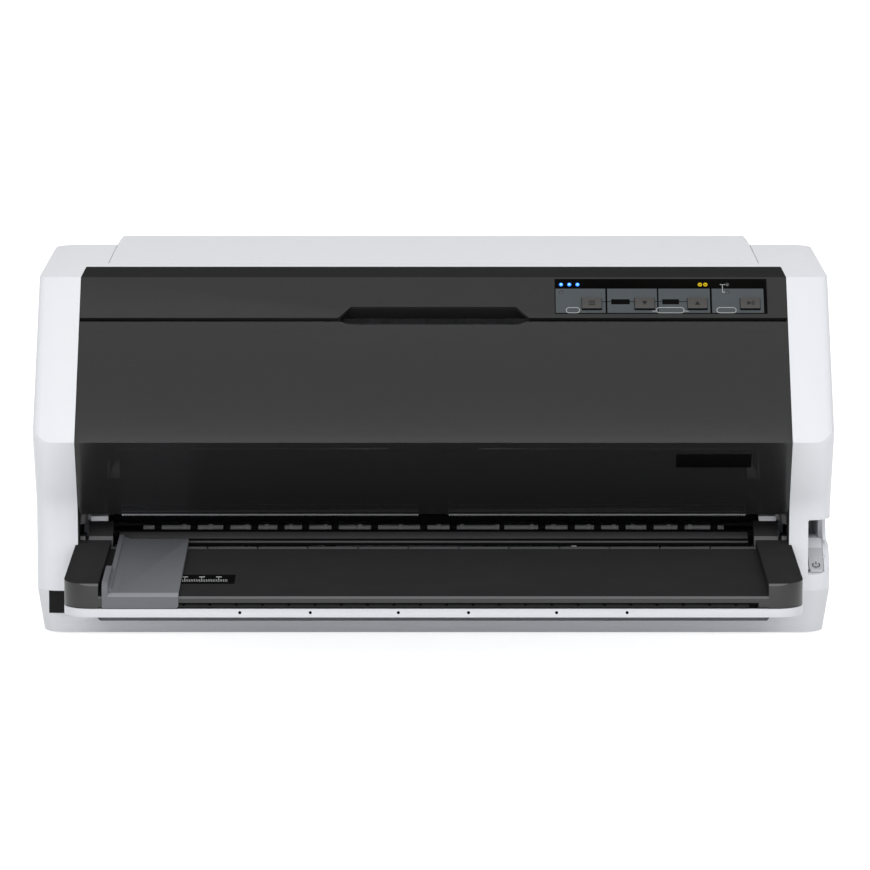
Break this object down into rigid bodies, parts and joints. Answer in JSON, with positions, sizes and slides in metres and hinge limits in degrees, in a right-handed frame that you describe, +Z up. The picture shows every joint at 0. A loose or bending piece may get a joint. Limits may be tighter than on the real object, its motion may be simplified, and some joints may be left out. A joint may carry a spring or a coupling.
{
  "type": "dot matrix printer",
  "caption": "Flatbed impact printer with a smoked hinged front cover, a paper table with a sliding edge guide, a raised rear lid and a full print mechanism inside.",
  "frame": {"origin": "centre of the footprint's bounding box, on the surface that the feet stand on", "axes": "+X to the user's right seen from the front, +Y to the back, +Z up; the paper table points along -Y"},
  "size_m": [0.48, 0.37, 0.2159],
  "materials": {
    "white_case": "fine satin",
    "lid_grey": "fine satin",
    "base_grey": "fine satin",
    "panel_black": "satin black",
    "overlay": "glossy printed film",
    "key_black": "moulded",
    "lens_blue": "clear lens",
    "board_green": "solder mask",
    "smoked": "smoked clear plastic",
    "tear_steel": "brushed",
    "label_black": "bare label",
    "table_black": "fine satin",
    "guide_grey": "fine satin",
    "rocker_grey": "moulded",
    "steel": "zinc plated",
    "rubber": "matt rubber",
    "roller": "rubber rings on a steel shaft",
    "inner_black": "moulded",
    "gear_white": "acetal",
    "brass": "machined",
    "motor": "painted",
    "tractor": "moulded",
    "head": "black anodised",
    "knob_blue": "moulded",
    "psu": "board with parts"
  },
  "bodies": {
    "chassis": {"lower_case": "base_grey", "upper_case": "white_case", "front_panel": "panel_black", "key_overlay": "overlay", "key_board": "board_green", "indicator_lights": "lens_blue", "table_top": "table_black", "table_tray": "white_case", "scale_strip": "label_black", "port_cap": "inner_black", "power_switch_body": "white_case", "side_frame_left": "steel", "side_frame_right": "steel", "platen": "inner_black", "front_guide": "inner_black", "rear_guide": "inner_black", "roller_bushes": "gear_white", "feed_motor": "motor", "tractor_support_shaft": "steel", "carriage_rail": "steel", "guide_bar": "steel", "carriage_motor": "motor", "timing_belt": "rubber", "belt_brackets": "steel", "ribbon_cartridge": "inner_black", "ribbon_band": "inner_black", "main_board": "board_green", "power_supply": "psu", "rear_sockets": "inner_black", "rubber_feet": "rubber", "case_screws": "steel"},
    "front_cover": {"front_cover": "smoked", "tear_bar": "tear_steel", "cover_label": "label_black"},
    "rear_lid": {"rear_cover": "lid_grey"},
    "edge_guide": {"edge_guide": "guide_grey"},
    "key_1": {"key_1": "key_black"},
    "key_2": {"key_2": "key_black"},
    "key_3": {"key_3": "key_black"},
    "key_4": {"key_4": "key_black"},
    "power_rocker": {"power_rocker": "rocker_grey"},
    "front_roller": {"front_roller": "roller", "front_roller_gear": "gear_white"},
    "rear_roller": {"rear_roller": "roller", "rear_roller_gear": "gear_white"},
    "pinch_roller": {"pinch_roller": "rubber"},
    "front_idler": {"front_idler_gear": "gear_white"},
    "rear_idler": {"rear_idler_gear": "gear_white"},
    "tractor_drive": {"tractor_drive_shaft": "steel", "tractor_gear": "gear_white"},
    "feed_pinion": {"feed_pinion": "brass"},
    "tractor_left": {"tractor_left": "tractor"},
    "tractor_right": {"tractor_right": "tractor"},
    "tractor_lid_left": {"tractor_lid_left": "tractor"},
    "tractor_lid_right": {"tractor_lid_right": "tractor"},
    "carriage": {"carriage": "inner_black", "print_head": "head"},
    "motor_pulley": {"motor_pulley": "brass"},
    "idler_pulley": {"idler_pulley": "gear_white"},
    "ribbon_knob": {"ribbon_knob": "knob_blue"}
  },
  "joints": [
    {"name": "front_cover_hinge", "type": "hinge", "parent": "chassis", "child": "front_cover", "pos_m": [0, -0.06, 0.075], "axis": [1, 0, 0], "range_deg": [0, 70]},
    {"name": "rear_lid_hinge", "type": "hinge", "parent": "chassis", "child": "rear_lid", "pos_m": [0, 0.056, 0.2075], "axis": [1, 0, 0], "range_deg": [0, 70]},
    {"name": "edge_guide_slide", "type": "slide", "parent": "chassis", "child": "edge_guide", "axis": [1, 0, 0], "range_m": [0, 0.05]},
    {"name": "key_1_press", "type": "slide", "parent": "chassis", "child": "key_1", "axis": [0, 0.7672, -0.6414], "range_m": [0, 0.001], "stiffness_N_per_m": 600, "springref_m": -0.001},
    {"name": "key_2_press", "type": "slide", "parent": "chassis", "child": "key_2", "axis": [0, 0.7672, -0.6414], "range_m": [0, 0.001], "stiffness_N_per_m": 600, "springref_m": -0.001},
    {"name": "key_3_press", "type": "slide", "parent": "chassis", "child": "key_3", "axis": [0, 0.7672, -0.6414], "range_m": [0, 0.001], "stiffness_N_per_m": 600, "springref_m": -0.001},
    {"name": "key_4_press", "type": "slide", "parent": "chassis", "child": "key_4", "axis": [0, 0.7672, -0.6414], "range_m": [0, 0.001], "stiffness_N_per_m": 600, "springref_m": -0.001},
    {"name": "power_rocker_tip", "type": "hinge", "parent": "chassis", "child": "power_rocker", "pos_m": [0.2313, -0.0547, 0.04474], "axis": [1, 0, 0], "range_deg": [-8, 0]},
    {"name": "feed_roller_spin", "type": "hinge", "parent": "chassis", "child": "front_roller", "pos_m": [0, -0.029, 0.0553], "axis": [1, 0, 0], "continuous": true},
    {"name": "front_idler_spin", "type": "hinge", "parent": "chassis", "child": "front_idler", "pos_m": [0.204, 0.004, 0.0553], "axis": [1, 0, 0], "continuous": true},
    {"name": "rear_roller_spin", "type": "hinge", "parent": "chassis", "child": "rear_roller", "pos_m": [0, 0.037, 0.0553], "axis": [1, 0, 0], "continuous": true},
    {"name": "rear_idler_spin", "type": "hinge", "parent": "chassis", "child": "rear_idler", "pos_m": [0.204, 0.073, 0.0553], "axis": [1, 0, 0], "continuous": true},
    {"name": "tractor_drive_spin", "type": "hinge", "parent": "chassis", "child": "tractor_drive", "pos_m": [0, 0.109, 0.0553], "axis": [1, 0, 0], "continuous": true},
    {"name": "feed_motor_spin", "type": "hinge", "parent": "chassis", "child": "feed_pinion", "pos_m": [0.204, 0.004, 0.0238], "axis": [1, 0, 0], "continuous": true},
    {"name": "pinch_roller_spin", "type": "hinge", "parent": "chassis", "child": "pinch_roller", "pos_m": [0, -0.029, 0.0641], "axis": [1, 0, 0], "continuous": true},
    {"name": "carriage_slide", "type": "slide", "parent": "chassis", "child": "carriage", "axis": [1, 0, 0], "range_m": [-0.15, 0.15]},
    {"name": "motor_pulley_spin", "type": "hinge", "parent": "chassis", "child": "motor_pulley", "pos_m": [-0.174, 0.09, 0.0953], "axis": [0, 0, 1], "continuous": true},
    {"name": "idler_pulley_spin", "type": "hinge", "parent": "chassis", "child": "idler_pulley", "pos_m": [0.174, 0.09, 0.0953], "axis": [0, 0, 1], "continuous": true},
    {"name": "ribbon_knob_turn", "type": "hinge", "parent": "chassis", "child": "ribbon_knob", "pos_m": [-0.158, -0.0325, 0.1043], "axis": [0, 0, 1], "continuous": true},
    {"name": "tractor_left_slide", "type": "slide", "parent": "chassis", "child": "tractor_left", "axis": [1, 0, 0], "range_m": [-0.028, 0.09]},
    {"name": "tractor_right_slide", "type": "slide", "parent": "chassis", "child": "tractor_right", "axis": [1, 0, 0], "range_m": [-0.09, 0.028]},
    {"name": "tractor_lid_left_hinge", "type": "hinge", "parent": "tractor_left", "child": "tractor_lid_left", "pos_m": [-0.153, 0.123, 0.0608], "axis": [0, -1, 0], "range_deg": [0, 100]},
    {"name": "tractor_lid_right_hinge", "type": "hinge", "parent": "tractor_right", "child": "tractor_lid_right", "pos_m": [0.153, 0.123, 0.0608], "axis": [0, 1, 0], "range_deg": [0, 100]}
  ],
  "couplings": [
    {"joint": "front_idler_spin", "follows": "feed_roller_spin", "ratio": -0.375},
    {"joint": "rear_roller_spin", "follows": "feed_roller_spin", "ratio": 1},
    {"joint": "rear_idler_spin", "follows": "feed_roller_spin", "ratio": -0.33333},
    {"joint": "tractor_drive_spin", "follows": "feed_roller_spin", "ratio": 1},
    {"joint": "feed_motor_spin", "follows": "feed_roller_spin", "ratio": 1.2},
    {"joint": "pinch_roller_spin", "follows": "feed_roller_spin", "ratio": -1.4706},
    {"joint": "motor_pulley_spin", "follows": "carriage_slide", "rad_per_m": 166.67},
    {"joint": "idler_pulley_spin", "follows": "carriage_slide", "rad_per_m": 166.67}
  ]
}
